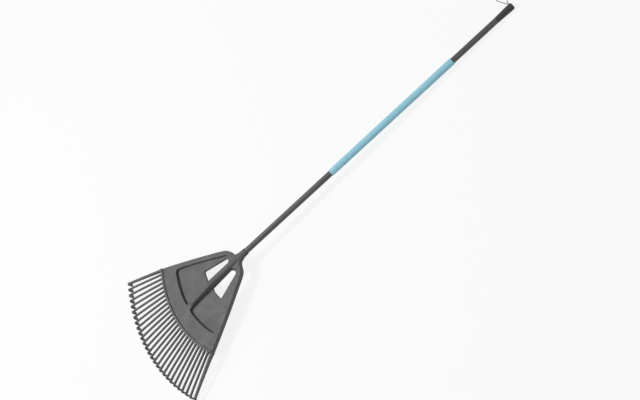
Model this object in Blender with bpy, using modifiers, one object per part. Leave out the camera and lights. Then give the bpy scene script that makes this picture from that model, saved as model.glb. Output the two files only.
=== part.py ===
# Fan rake: a one-piece moulded fan head with 27 broad-tipped tines, pushed on a round tube handle
# with a soft sleeve round its middle, an end cap and a hanging loop.
#
# Head frame: +X across the fan, +Y from the handle towards the tine tips, +Z up from the top
# face of the fan's panel. Its origin is the apex, the point on the rake's centre line about
# which the panel's outer arc and the line of the tine tips are both drawn.
# Handle frame: its origin is on the handle's centre line under the apex, and "along" is
# counted from there towards the grip, so the socket lies at negative values.
# The finished rake lies on the floor, on its tine tips and its end cap.

import math

import bmesh
import bpy
import numpy as np
from mathutils import Matrix, Vector

# Fan head, in metres
FAN_RADIUS = 0.540
PANEL_RADIUS = 0.379
FAN_HALF_ANGLE = math.radians(28.46)
EDGE_BOW = 0.0976
PANEL_DEPTH = 0.017
WALL = 0.003
TOP_SKIN = 0.003
RIM_WIDTH = 0.0155
ARC_STEPS = 52

# Raised lip along the panel's outer arc
LIP_WIDTH = 0.0085
LIP_HEIGHT = 0.0035

# Sunken pockets, whose floor slopes down towards the arc, and the openings through them
FLOOR_START_Y = 0.110
FLOOR_START_Z = -0.0070
FLOOR_END_Y = 0.319
FLOOR_END_Z = -0.0105
POCKET_DRAFT = 0.002
RECESS_INSET = 0.0006
POCKET_RADIUS = 0.319
POCKET_CORNER = 0.009
SPINE_HALF_WIDTH = 0.0078
OPENING_RADIUS = 0.2155

# Raised ridge that carries the socket's line on to the band: (y, height over the panel)
RIDGE_HALF_WIDTH = 0.0080
RIDGE_SIDE = 0.0003
RIDGE_STEPS = 10
RIDGE_STATIONS = (
    (0.1975, 0.0110), (0.2060, 0.0104), (0.2150, 0.0099), (0.2215, 0.0096), (0.2280, 0.0094),
    (0.2570, 0.0091), (0.2800, 0.0089), (0.2850, 0.0087), (0.2890, 0.0084), (0.2930, 0.0079),
    (0.2960, 0.0072), (0.2985, 0.0063), (0.3005, 0.0053), (0.3025, 0.0040), (0.3040, 0.0028),
    (0.3050, 0.0019), (0.3064, 0.0009), (0.3071, 0.0004),
)
RIDGE_HOLLOW_HALF_WIDTH = 0.0045
RIDGE_HOLLOW_TOP = 0.0035
RIDGE_HOLLOW_START = 0.220
RIDGE_HOLLOW_END = 0.281

# Relief cut from below under the socket, between the two openings
RELIEF_HALF_WIDTH = 0.0162
RELIEF_TOP = -0.0100
RELIEF_START = 0.122
RELIEF_END = 0.212

# Hollow underside of the outer band
BAND_CELLS = 6
BAND_WEB = 0.003

# Tines
TINE_COUNT = 27
TINE_CENTRE_Y = -0.038
TINE_TOP = -0.0015
TINE_WIDTH = 0.0056
TINE_ROOT_DEPTH = 0.0082
TINE_END_DEPTH = 0.0070
EDGE_TINE_WIDTH = 0.0072
EDGE_TINE_ROOT_DEPTH = 0.0140
EDGE_TINE_END_DEPTH = 0.0080
TINE_DROOP = 0.0526
TINE_CURVE = 0.185
BEND_RADIUS = 0.008
HOOK_TIP_Z = -0.0400
HOOK_THICKNESS = 0.0052
HOOK_REACH = 0.012
TIP_THICKNESS = 0.0026
TIP_WIDTH = 0.0105
EDGE_TIP_WIDTH = 0.0085
FLARE_START = 0.002
FLARE_DROP = 0.014

# Handle
HANDLE_SLOPE = math.atan(0.0854)
HANDLE_DROP = 0.0140
SOCKET_MOUTH = -0.044
SOCKET_END = -0.210
SOCKET_RADIUS = 0.0120
GAP = 0.0003
TUBE_RADIUS = 0.0095
TUBE_BORE = 0.0085
TUBE_START = -0.195
TUBE_END = 1.0215
SLEEVE_START = 0.3288
SLEEVE_END = 0.8409
SLEEVE_RADIUS = 0.0115
CAP_END = 1.0868
CAP_RADIUS = 0.0113
CAP_BORE = 0.0060
CAP_SPIGOT = 0.032

# Screw that holds the head on the tube, from below
SCREW_ALONG = -0.066
SCREW_RADIUS = 0.0017
SCREW_HEAD_RADIUS = 0.0036
SCREW_HEAD_HEIGHT = 0.0024
SCREW_POINT = 0.0066

# Hanging loop
CORD_RADIUS = 0.0012
CORD_HOLE_RADIUS = 0.0032
CORD_HOLE_ALONG = 1.0785
CORD_STRAND_OFFSET = 0.00140
CORD_POINT_SPACING = 0.0060
KNOT_RADIUS = 0.0042
KNOT_ALONG = 1.0768


# Scene helpers

def clear_scene():
    for obj in list(bpy.data.objects):
        bpy.data.objects.remove(obj, do_unlink=True)


def make_collection(name):
    collection = bpy.data.collections.new(name)
    bpy.context.scene.collection.children.link(collection)
    return collection


def make_empty(name, collection, parent=None):
    empty = bpy.data.objects.new(name, None)
    empty.empty_display_size = 0.05
    collection.objects.link(empty)
    empty.parent = parent
    return empty


def make_material(name, color, roughness, metallic=0.0):
    material = bpy.data.materials.new(name)
    material.use_nodes = True
    shader = material.node_tree.nodes["Principled BSDF"]
    shader.inputs["Base Color"].default_value = (*color, 1.0)
    shader.inputs["Roughness"].default_value = roughness
    shader.inputs["Metallic"].default_value = metallic
    return material


def hide_cutter(obj):
    obj.hide_render = True
    obj.display_type = "WIRE"
    obj.hide_set(True)


def mesh_from_curve(name, curve_object, collection):
    """Turn a curve object into a closed mesh object and remove the curve."""
    bpy.context.view_layer.update()
    depsgraph = bpy.context.evaluated_depsgraph_get()
    evaluated = curve_object.evaluated_get(depsgraph)
    mesh = bpy.data.meshes.new_from_object(evaluated)
    work = bmesh.new()
    work.from_mesh(mesh)
    bmesh.ops.remove_doubles(work, verts=work.verts, dist=0.00001)
    bmesh.ops.recalc_face_normals(work, faces=work.faces)
    work.to_mesh(mesh)
    work.free()
    mesh.name = name
    obj = bpy.data.objects.new(name, mesh)
    obj.matrix_world = curve_object.matrix_world
    collection.objects.link(obj)
    curve = curve_object.data
    bpy.data.objects.remove(curve_object, do_unlink=True)
    bpy.data.curves.remove(curve)
    return obj


def flat_plate(name, outline, low, high, collection):
    """A flat outline in the XY plane, thickened from height low to height high."""
    curve = bpy.data.curves.new(name + "_curve", "CURVE")
    curve.dimensions = "2D"
    curve.fill_mode = "BOTH"
    curve.extrude = (high - low) / 2.0
    spline = curve.splines.new("POLY")
    spline.points.add(len(outline) - 1)
    for point, (x, y) in zip(spline.points, outline):
        point.co = (x, y, 0.0, 1.0)
    spline.use_cyclic_u = True
    curve_object = bpy.data.objects.new(name + "_curve", curve)
    curve_object.location = (0.0, 0.0, (high + low) / 2.0)
    collection.objects.link(curve_object)
    return mesh_from_curve(name, curve_object, collection)


def lofted(name, rings, collection):
    """A closed body through rings of equally many points, with a flat face at both ends."""
    work = bmesh.new()
    loops = [[work.verts.new(point) for point in ring] for ring in rings]
    count = len(rings[0])
    for first, second in zip(loops, loops[1:]):
        for index in range(count):
            after = (index + 1) % count
            work.faces.new((first[index], first[after], second[after], second[index]))
    work.faces.new(loops[0][::-1])
    work.faces.new(loops[-1])
    bmesh.ops.recalc_face_normals(work, faces=work.faces)
    mesh = bpy.data.meshes.new(name)
    work.to_mesh(mesh)
    work.free()
    obj = bpy.data.objects.new(name, mesh)
    collection.objects.link(obj)
    return obj


def turned(name, profile, collection, parent, steps=32):
    """A body of revolution on the handle's centre line.

    The profile holds (radius, along) pairs, counted from the head end to the grip end on the
    outer side. A profile that starts and ends off the axis is closed by its inner side.
    """
    mesh = bpy.data.meshes.new(name)
    work = bmesh.new()
    verts = [work.verts.new((radius, 0.0, along)) for radius, along in reversed(profile)]
    for first, second in zip(verts, verts[1:]):
        work.edges.new((first, second))
    if profile[0][0] > 0.0:
        work.edges.new((verts[-1], verts[0]))
    work.to_mesh(mesh)
    work.free()
    obj = bpy.data.objects.new(name, mesh)
    collection.objects.link(obj)
    obj.parent = parent
    obj.rotation_euler = (math.radians(90.0), 0.0, 0.0)
    screw = obj.modifiers.new("turn", "SCREW")
    screw.axis = "Z"
    screw.steps = steps
    screw.render_steps = steps
    screw.use_merge_vertices = True
    screw.merge_threshold = 0.00001
    return obj


def round_rod(name, radius, length, location, rotation, collection, parent=None, sides=20):
    """A plain cylinder, centred on its location."""
    work = bmesh.new()
    bmesh.ops.create_cone(
        work, cap_ends=True, segments=sides, radius1=radius, radius2=radius, depth=length
    )
    mesh = bpy.data.meshes.new(name)
    work.to_mesh(mesh)
    work.free()
    obj = bpy.data.objects.new(name, mesh)
    collection.objects.link(obj)
    obj.parent = parent
    obj.location = location
    obj.rotation_euler = rotation
    return obj


def boolean(obj, other, operation):
    modifier = obj.modifiers.new(other.name, "BOOLEAN")
    modifier.operation = operation
    modifier.solver = "EXACT"
    modifier.object = other


def gather(name, objects, collection):
    """One object that holds the meshes of several objects that don't touch each other."""
    work = bmesh.new()
    for obj in objects:
        mesh = obj.data
        mesh.transform(obj.matrix_basis)
        work.from_mesh(mesh)
        bpy.data.objects.remove(obj, do_unlink=True)
        bpy.data.meshes.remove(mesh)
    mesh = bpy.data.meshes.new(name)
    work.to_mesh(mesh)
    work.free()
    obj = bpy.data.objects.new(name, mesh)
    collection.objects.link(obj)
    return obj


# Outline helpers

def round_corners(corners, segments=4):
    """Outline points from (x, y, radius) corners; a corner of radius 0 is kept as it is."""
    points = []
    count = len(corners)
    for index, (x, y, radius) in enumerate(corners):
        here = Vector((x, y))
        if radius == 0.0:
            points.append((x, y))
            continue
        before = (Vector(corners[index - 1][:2]) - here).normalized()
        after = (Vector(corners[(index + 1) % count][:2]) - here).normalized()
        half = before.angle(after) / 2.0
        start = here + before * (radius / math.tan(half))
        end = here + after * (radius / math.tan(half))
        centre = here + (before + after).normalized() * (radius / math.sin(half))
        first = (start - centre)
        sweep = first.angle_signed(end - centre)
        for step in range(segments + 1):
            turn = Matrix.Rotation(-sweep * step / segments, 2)
            points.append(tuple(centre + turn @ first))
    return points


def offset_outline(points, distance):
    """Move a counter-clockwise outline outwards by a distance, or inwards if negative."""
    moved = []
    count = len(points)
    for index in range(count):
        here = Vector(points[index])
        before = (here - Vector(points[index - 1])).normalized()
        after = (Vector(points[(index + 1) % count]) - here).normalized()
        normal = (Vector((before.y, -before.x)) + Vector((after.y, -after.x))).normalized()
        spread = normal.dot(Vector((after.y, -after.x)))
        moved.append(tuple(here + normal * (distance / spread)))
    return moved


def mirrored(points):
    return [(-x, y) for x, y in reversed(points)]


def rectangle(half_width, start, end):
    return [(half_width, start), (half_width, end), (-half_width, end), (-half_width, start)]


def arc_points(radius, start_angle, end_angle, steps):
    """Points about the apex, with angles counted from +Y towards +X."""
    points = []
    for step in range(steps + 1):
        angle = start_angle + (end_angle - start_angle) * step / steps
        points.append((radius * math.sin(angle), radius * math.cos(angle)))
    return points


# Fan geometry

def edge_x(y):
    """Half width of the fan at a distance y from the apex; the edges bow out slightly."""
    bow = EDGE_BOW * (y - 0.2 * FAN_RADIUS)
    bow *= (FAN_RADIUS * math.cos(FAN_HALF_ANGLE) - y) / FAN_RADIUS
    return math.tan(FAN_HALF_ANGLE) * y + bow


def edge_point(radius):
    """The point of the fan's +X edge at a distance from the apex."""
    angle = FAN_HALF_ANGLE
    for _ in range(20):
        y = radius * math.cos(angle)
        angle = math.atan2(edge_x(y), y)
    return radius * math.sin(angle), radius * math.cos(angle)


def tine_droop(radius):
    """How far a tine's top has dropped at a distance from the apex."""
    beyond = max(0.0, radius - PANEL_RADIUS)
    return TINE_DROOP * beyond + TINE_CURVE * beyond * beyond


def panel_outline():
    """The panel seen from above, counter-clockwise."""
    neck = [
        (0.0078, 0.0585), (0.0100, 0.0650), (0.0122, 0.0735), (0.0150, 0.0795), (0.0210, 0.0838),
        (0.0290, 0.0868), (0.0375, 0.0895), (0.0450, 0.0932), (0.0510, 0.0985),
        (0.0555, 0.1045),
    ]
    corner_x, corner_y = edge_point(PANEL_RADIUS)
    edge = []
    for step in range(8):
        y = 0.112 + (corner_y - 0.112) * step / 8.0
        edge.append((edge_x(y), y))
    corner_angle = math.atan2(corner_x, corner_y)
    arc = arc_points(PANEL_RADIUS, corner_angle, -corner_angle, ARC_STEPS)
    right = neck + edge
    return right + arc + mirrored(right)


def rim_line(y, inset):
    """A point beside the fan's +X edge, moved in square to the edge."""
    slope = (edge_x(y + 0.001) - edge_x(y - 0.001)) / 0.002
    length = math.hypot(slope, 1.0)
    return edge_x(y) - inset / length, y + inset * slope / length


def pocket_outline():
    """The rim of the sunken pocket on the +X side, counter-clockwise."""
    near_x, near_y = rim_line(0.098, RIM_WIDTH)
    far_angle = math.radians(26.0)
    arc = arc_points(POCKET_RADIUS, far_angle, math.asin(SPINE_HALF_WIDTH / POCKET_RADIUS), 8)
    corners = [(0.0125, 0.1130, 0.005), (0.0255, 0.1040, 0.006), (near_x, near_y, 0.007)]
    for step in range(1, 5):
        x, y = rim_line(0.098 + 0.037 * step, RIM_WIDTH)
        corners.append((x, y, 0.0))
    for index, (x, y) in enumerate(arc):
        corner = POCKET_CORNER if index in (0, len(arc) - 1) else 0.0
        corners.append((x, y, corner))
    return round_corners(corners)


def floor_height(y):
    """Height of the pockets' sloping floor."""
    share = (y - FLOOR_START_Y) / (FLOOR_END_Y - FLOOR_START_Y)
    return FLOOR_START_Z + (FLOOR_END_Z - FLOOR_START_Z) * share


def pocket_floor(rim):
    """The pocket's outline at its floor: drafted all round, but upright along the spine."""
    fade = 0.020
    points = []
    for x, y in offset_outline(rim, -POCKET_DRAFT):
        share = 1.0 - (x - SPINE_HALF_WIDTH - POCKET_DRAFT) / fade
        points.append((x - POCKET_DRAFT * min(1.0, max(0.0, share)), y))
    return points


def pocket_rings(rim, floor):
    """The pocket's cutter: its floor, and its walls drawn on to a little above the panel."""
    above = 0.002
    lower = []
    upper = []
    for (rim_x, rim_y), (floor_x, floor_y) in zip(rim, floor):
        height = floor_height(floor_y)
        share = above / -height
        lower.append((floor_x, floor_y, height))
        upper.append((rim_x + (rim_x - floor_x) * share, rim_y + (rim_y - floor_y) * share, above))
    return [lower, upper]


def opening_outline():
    """The opening through the +X pocket, beside the socket, counter-clockwise."""
    arc = arc_points(OPENING_RADIUS, math.radians(16.2), math.radians(3.5), 3)
    corners = [(0.0130, 0.1210, 0.003), (0.0225, 0.1120, 0.004), (0.0335, 0.1135, 0.004)]
    for index, (x, y) in enumerate(arc):
        corner = 0.005 if index in (0, len(arc) - 1) else 0.0
        corners.append((x, y, corner))
    return round_corners(corners, 3)


def ridge_rings():
    """Cross sections of the raised ridge: upright sides under a low round top."""
    rings = []
    for y, height in RIDGE_STATIONS:
        low = floor_height(y) - 0.001
        ring = [(-RIDGE_HALF_WIDTH, y, low), (RIDGE_HALF_WIDTH, y, low)]
        for step in range(RIDGE_STEPS + 1):
            angle = math.pi * step / RIDGE_STEPS
            x = RIDGE_HALF_WIDTH * math.cos(angle)
            ring.append((x, y, RIDGE_SIDE + height * math.sin(angle)))
        rings.append(ring)
    return rings


def band_cell(index):
    """One hollow of the band's underside, between two webs."""
    inner = POCKET_RADIUS + WALL
    outer = PANEL_RADIUS - WALL
    corner_x, corner_y = edge_point(PANEL_RADIUS)
    reach = math.atan2(corner_x, corner_y) - math.radians(0.9)
    width = 2.0 * reach / BAND_CELLS
    web = BAND_WEB / 2.0 / inner
    start = reach - width * index - web
    end = reach - width * (index + 1) + web
    return arc_points(inner, end, start, 4) + arc_points(outer, start, end, 4)


def rim_channel():
    """The hollow under the +X rim, from the shoulder to the band."""
    outside = []
    inside = []
    for step in range(6):
        y = 0.112 + 0.031 * step
        outside.append(rim_line(y, WALL))
        inside.append(rim_line(y, RIM_WIDTH - WALL))
    return outside + inside[::-1]


def tine_side(root_distance, tip_distance, root_depth, end_depth, tip_z, floor_slope):
    """Side view of one tine: (distance from the tines' centre, height) points."""
    def radius_at(distance):
        share = (distance - root_distance) / (tip_distance - root_distance)
        return PANEL_RADIUS + share * (FAN_RADIUS - PANEL_RADIUS)

    def top(distance):
        return TINE_TOP - tine_droop(radius_at(distance))

    def depth(distance):
        share = (distance - root_distance) / (tip_distance - root_distance)
        return root_depth + (end_depth - root_depth) * max(0.0, share)

    start = root_distance - WALL / 2.0
    bend_start = tip_distance - BEND_RADIUS
    inner_start = tip_distance - HOOK_THICKNESS - 0.0035
    upper = []
    lower = []
    for step in range(5):
        share = step / 4.0
        distance = start + share * (bend_start - start)
        upper.append((distance, top(distance)))
        distance = start + share * (inner_start - start)
        lower.append((distance, top(distance) - depth(distance)))
    bend_top = top(bend_start)
    bend = []
    for step in range(1, 6):
        angle = math.radians(90.0) * step / 5.0
        distance = bend_start + BEND_RADIUS * math.sin(angle)
        bend.append((distance, bend_top - BEND_RADIUS * (1.0 - math.cos(angle))))
    tip_outer = tip_distance - 0.0006
    tip_inner = tip_outer - TIP_THICKNESS
    tip = [
        (tip_distance - 0.0001, tip_z + 0.0020),
        (tip_outer, tip_z),
        (tip_inner, tip_z - floor_slope * TIP_THICKNESS),
    ]
    under = lower[-1][1]
    inside = [
        (tip_distance - HOOK_THICKNESS + 0.0002, under - 0.0060),
        (tip_distance - HOOK_THICKNESS - 0.0008, under - 0.0018),
    ]
    return upper + bend + tip + inside + lower[::-1]


def flare_hook(mesh, bend_top, tip_distance, widening):
    """Widen a tine's hook towards its tip. The mesh lies flat: distance, height, width."""
    for vert in mesh.vertices:
        if vert.co.x > tip_distance - HOOK_REACH:
            drop = bend_top - vert.co.y - FLARE_START
            share = min(1.0, max(0.0, drop / FLARE_DROP))
            vert.co.z *= 1.0 + (widening - 1.0) * share


def make_tine(index, floor_line, collection):
    """One tine, standing in the vertical plane through the tines' centre."""
    middle = (TINE_COUNT - 1) / 2.0
    is_edge = index in (0, TINE_COUNT - 1)
    width = EDGE_TINE_WIDTH if is_edge else TINE_WIDTH
    root_depth = EDGE_TINE_ROOT_DEPTH if is_edge else TINE_ROOT_DEPTH
    end_depth = EDGE_TINE_END_DEPTH if is_edge else TINE_END_DEPTH
    tip_x, tip_y = edge_point(FAN_RADIUS)
    edge_angle = math.atan2(tip_x, tip_y - TINE_CENTRE_Y)
    edge_angle -= EDGE_TINE_WIDTH / 2.0 / math.hypot(tip_x, tip_y - TINE_CENTRE_Y)
    angle = edge_angle * (index - middle) / middle
    root_distance = distance_to_arc(angle, PANEL_RADIUS)
    tip_distance = distance_to_arc(angle, FAN_RADIUS)
    slope, at_apex = floor_line
    tip_z = at_apex + slope * (TINE_CENTRE_Y + (tip_distance - 0.0006) * math.cos(angle))
    outline = tine_side(
        root_distance, tip_distance, root_depth, end_depth, tip_z, slope * math.cos(angle)
    )
    tine = flat_plate("tine_%02d" % index, outline, -width / 2.0, width / 2.0, collection)
    tip_width = EDGE_TIP_WIDTH if is_edge else TIP_WIDTH
    bend_top = TINE_TOP - tine_droop(FAN_RADIUS - BEND_RADIUS)
    flare_hook(tine.data, bend_top, tip_distance, tip_width / width)
    stand = Matrix.Rotation(math.radians(90.0), 4, "Z") @ Matrix.Rotation(
        math.radians(90.0), 4, "X"
    )
    swing = Matrix.Rotation(-angle, 4, "Z")
    shift = Matrix.Translation((0.0, TINE_CENTRE_Y, 0.0))
    tine.data.transform(shift @ swing @ stand)
    tine.matrix_world = Matrix.Identity(4)
    return tine


def distance_to_arc(angle, radius):
    """Distance from the tines' centre to an arc about the apex, in a tine's direction."""
    along = -TINE_CENTRE_Y * math.cos(angle)
    across = TINE_CENTRE_Y * math.sin(angle)
    return along + math.sqrt(radius * radius - across * across)


# Handle geometry

def cap_profile():
    """Outer side of the end cap, from the tube's end to the grip end."""
    return [
        (TUBE_BORE - GAP, TUBE_END - CAP_SPIGOT),
        (TUBE_BORE - GAP, TUBE_END + GAP),
        (TUBE_RADIUS, TUBE_END + GAP),
        (0.0098, TUBE_END + 0.004),
        (0.0100, TUBE_END + 0.014),
        (0.0106, TUBE_END + 0.028),
        (CAP_RADIUS, TUBE_END + 0.044),
        (CAP_RADIUS, CAP_END - 0.0060),
        (0.0108, CAP_END - 0.0030),
        (0.0094, CAP_END - 0.0010),
        (0.0070, CAP_END),
    ]


def head_point(radius, along):
    """The lowest point of a handle section, as (y, z) in the head frame."""
    y = -along * math.cos(HANDLE_SLOPE) + radius * math.sin(HANDLE_SLOPE)
    z = -HANDLE_DROP - along * math.sin(HANDLE_SLOPE) - radius * math.cos(HANDLE_SLOPE)
    return y, z


def find_floor_line():
    """Slope and height at the apex of the floor, in the head frame.

    The floor passes through the middle tine's tip and just touches the end cap.
    """
    tip_y = FAN_RADIUS - 0.0006
    slope = 0.0
    for radius, along in cap_profile():
        y, z = head_point(radius, along)
        slope = max(slope, (HOOK_TIP_Z - z) / (tip_y - y))
    return slope, HOOK_TIP_Z - slope * tip_y


def smooth_path(points, spacing):
    """Evenly spaced points along a smooth curve through the route points."""
    route = np.array(points)
    padded = np.vstack([2 * route[0] - route[1], route, 2 * route[-1] - route[-2]])
    dense = []
    for index in range(1, len(padded) - 2):
        a, b, c, d = padded[index - 1:index + 3]
        for share in np.linspace(0.0, 1.0, 24, endpoint=False):
            dense.append(
                0.5 * (2 * b + (c - a) * share + (2 * a - 5 * b + 4 * c - d) * share ** 2
                       + (3 * b - a - 3 * c + d) * share ** 3)
            )
    dense.append(route[-1])
    dense = np.array(dense)
    run = np.concatenate([[0.0], np.cumsum(np.linalg.norm(np.diff(dense, axis=0), axis=1))])
    count = int(round(run[-1] / spacing)) + 1
    marks = np.linspace(0.0, run[-1], count)
    return [tuple(np.interp(mark, run, dense[:, axis]) for axis in range(3)) for mark in marks]


def cord_route(hole):
    """Route of the hanging loop: out of the cap's side hole, round on the floor and back.

    The hole is the point where the hole's centre line meets the handle's centre line.
    """
    low = CORD_RADIUS + 0.0001
    upper = hole.z + CORD_STRAND_OFFSET * 0.92
    lower = hole.z - CORD_STRAND_OFFSET * 0.92
    lean = CORD_STRAND_OFFSET * 0.40
    relative = [
        (0.0050, -lean, upper),
        (0.0100, -lean, upper),
        (0.0150, -lean - 0.0003, upper - 0.0001),
        (0.0220, -lean - 0.0016, upper - 0.0018),
        (0.0310, -0.0050, upper - 0.0062),
        (0.0410, -0.0090, low + 0.0006),
        (0.0530, -0.0125, low),
        (0.0670, -0.0140, low),
        (0.0800, -0.0100, low),
        (0.0865, 0.0020, low),
        (0.0815, 0.0145, low),
        (0.0690, 0.0200, low),
        (0.0550, 0.0180, low),
        (0.0420, 0.0125, low),
        (0.0310, 0.0070, low + 0.0010),
        (0.0220, lean + 0.0024, lower - 0.0042),
        (0.0155, lean + 0.0005, lower - 0.0008),
        (0.0100, lean, lower),
        (0.0050, lean, lower),
    ]
    return [(x, hole.y + y, z) for x, y, z in relative]


# Parts

def build_fan_head(parts, cutters, frame, handle, floor_line, material):
    head = flat_plate("fan_head", panel_outline(), -PANEL_DEPTH, 0.0, parts)
    head.parent = frame

    below = -PANEL_DEPTH - 0.01
    tools = []
    for side, shape in (("right", lambda points: points), ("left", mirrored)):
        rim = pocket_outline()
        opening = opening_outline()
        pocket = lofted("pocket_" + side, pocket_rings(shape(rim), shape(pocket_floor(rim))), cutters)
        under = offset_outline(rim, -RECESS_INSET)
        recess = lofted(
            "recess_" + side,
            [[(x, y, below) for x, y in shape(under)],
             [(x, y, floor_height(y) - WALL) for x, y in shape(under)]],
            cutters,
        )
        rib = flat_plate(
            "opening_rib_" + side, shape(offset_outline(opening, WALL)),
            below - 0.01, 0.02, cutters,
        )
        boolean(recess, rib, "DIFFERENCE")
        rib.parent = frame
        hide_cutter(rib)
        hole = flat_plate("opening_" + side, shape(opening), below, 0.02, cutters)
        channel = flat_plate(
            "rim_channel_" + side, shape(rim_channel()), below, -TOP_SKIN, cutters
        )
        tools += [(pocket, "DIFFERENCE"), (recess, "DIFFERENCE"), (hole, "DIFFERENCE")]
        tools += [(channel, "DIFFERENCE")]
    relief = rectangle(RELIEF_HALF_WIDTH, RELIEF_START, RELIEF_END)
    tools.append(
        (flat_plate("socket_relief", relief, below, RELIEF_TOP, cutters), "DIFFERENCE")
    )
    tools.append((lofted("ridge", ridge_rings(), cutters), "UNION"))
    hollow = rectangle(RIDGE_HOLLOW_HALF_WIDTH, RIDGE_HOLLOW_START, RIDGE_HOLLOW_END)
    tools.append(
        (flat_plate("ridge_hollow", hollow, below, RIDGE_HOLLOW_TOP, cutters), "DIFFERENCE")
    )
    cells = [
        flat_plate("band_cell_%d" % index, band_cell(index), below, -TOP_SKIN, cutters)
        for index in range(BAND_CELLS)
    ]
    tools.append((gather("band_cells", cells, cutters), "DIFFERENCE"))
    tines = [make_tine(index, floor_line, cutters) for index in range(TINE_COUNT)]
    tools.append((gather("tines", tines, cutters), "UNION"))
    for tool, operation in tools:
        tool.parent = frame
        hide_cutter(tool)
        boolean(head, tool, operation)

    corner_x, corner_y = edge_point(PANEL_RADIUS)
    reach = math.atan2(corner_x, corner_y) - math.radians(0.4)
    lip_outline = arc_points(PANEL_RADIUS - LIP_WIDTH, -reach, reach, ARC_STEPS)
    lip_outline += arc_points(PANEL_RADIUS - 0.0006, reach, -reach, ARC_STEPS)
    arc_lip = flat_plate("arc_lip", lip_outline, -0.001, LIP_HEIGHT, cutters)
    arc_lip.parent = frame
    boolean(head, arc_lip, "UNION")
    hide_cutter(arc_lip)

    socket = turned(
        "socket",
        [(0.0, SOCKET_END), (0.0070, SOCKET_END + 0.0012), (0.0105, SOCKET_END + 0.0050),
         (SOCKET_RADIUS, SOCKET_END + 0.0120), (SOCKET_RADIUS + 0.0004, -0.082),
         (SOCKET_RADIUS, -0.058), (0.0114, SOCKET_MOUTH - 0.0020), (0.0110, SOCKET_MOUTH),
         (0.0, SOCKET_MOUTH)],
        cutters, handle,
    )
    boolean(head, socket, "UNION")
    hide_cutter(socket)
    bore = turned(
        "socket_bore",
        [(0.0, TUBE_START - GAP), (TUBE_RADIUS + GAP, TUBE_START - GAP),
         (TUBE_RADIUS + GAP, SOCKET_MOUTH + 0.02), (0.0, SOCKET_MOUTH + 0.02)],
        cutters, handle,
    )
    boolean(head, bore, "DIFFERENCE")
    hide_cutter(bore)
    head.data.materials.clear()
    head.data.materials.append(material)
    return head


def build_handle(parts, cutters, handle, materials):
    tube = turned(
        "handle_tube",
        [(TUBE_BORE, TUBE_START), (TUBE_RADIUS, TUBE_START), (TUBE_RADIUS, TUBE_END),
         (TUBE_BORE, TUBE_END)],
        parts, handle,
    )
    tube.data.materials.append(materials["tube"])

    inner = TUBE_RADIUS + GAP
    sleeve = turned(
        "grip_sleeve",
        [(inner, SLEEVE_START), (SLEEVE_RADIUS - 0.0005, SLEEVE_START),
         (SLEEVE_RADIUS, SLEEVE_START + 0.0008), (SLEEVE_RADIUS, SLEEVE_END - 0.0008),
         (SLEEVE_RADIUS - 0.0005, SLEEVE_END), (inner, SLEEVE_END)],
        parts, handle,
    )
    sleeve.data.materials.append(materials["sleeve"])

    cap = turned(
        "end_cap",
        [(CAP_BORE, TUBE_END - CAP_SPIGOT)] + cap_profile()
        + [(0.0, CAP_END), (0.0, CAP_END - 0.0040), (CAP_BORE - 0.0010, CAP_END - 0.0040),
           (CAP_BORE, CAP_END - 0.0050)],
        parts, handle,
    )
    cap.data.materials.append(materials["cap"])
    hole = round_rod(
        "cord_hole", CORD_HOLE_RADIUS, 0.012, (0.0105, -CORD_HOLE_ALONG, 0.0),
        (0.0, math.radians(90.0), 0.0), cutters, handle,
    )
    boolean(cap, hole, "DIFFERENCE")
    hide_cutter(hole)
    return tube


def build_screw(parts, cutters, head, tube, handle, material):
    head_top = SOCKET_RADIUS + 0.0004 + GAP
    screw = bpy.data.objects.new("head_screw", bpy.data.meshes.new("head_screw"))
    work = bmesh.new()
    profile = [
        (0.0, -SCREW_POINT), (0.0006, -SCREW_POINT), (SCREW_RADIUS, -SCREW_POINT - 0.0022),
        (SCREW_RADIUS, -head_top), (SCREW_HEAD_RADIUS, -head_top),
        (SCREW_HEAD_RADIUS, -head_top - SCREW_HEAD_HEIGHT * 0.5),
        (SCREW_HEAD_RADIUS * 0.72, -head_top - SCREW_HEAD_HEIGHT),
        (0.0, -head_top - SCREW_HEAD_HEIGHT),
    ]
    verts = [work.verts.new((radius, 0.0, height)) for radius, height in profile]
    for first, second in zip(verts, verts[1:]):
        work.edges.new((first, second))
    work.to_mesh(screw.data)
    work.free()
    turn = screw.modifiers.new("turn", "SCREW")
    turn.axis = "Z"
    turn.steps = 20
    turn.render_steps = 20
    turn.use_merge_vertices = True
    turn.merge_threshold = 0.00001
    parts.objects.link(screw)
    screw.parent = handle
    screw.location = (0.0, -SCREW_ALONG, 0.0)
    screw.data.materials.append(material)

    length = 0.020
    hole = round_rod(
        "screw_hole", SCREW_RADIUS + GAP, length,
        (0.0, -SCREW_ALONG, -SCREW_POINT + 0.001 - length / 2.0), (0.0, 0.0, 0.0),
        cutters, handle, 16,
    )
    seat = round_rod(
        "screw_seat", SCREW_HEAD_RADIUS + 0.0004, length,
        (0.0, -SCREW_ALONG, -SOCKET_RADIUS + 0.0006 - length / 2.0), (0.0, 0.0, 0.0),
        cutters, handle, 24,
    )
    boolean(head, seat, "DIFFERENCE")
    boolean(head, hole, "DIFFERENCE")
    boolean(tube, hole, "DIFFERENCE")
    hide_cutter(hole)
    hide_cutter(seat)


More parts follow.
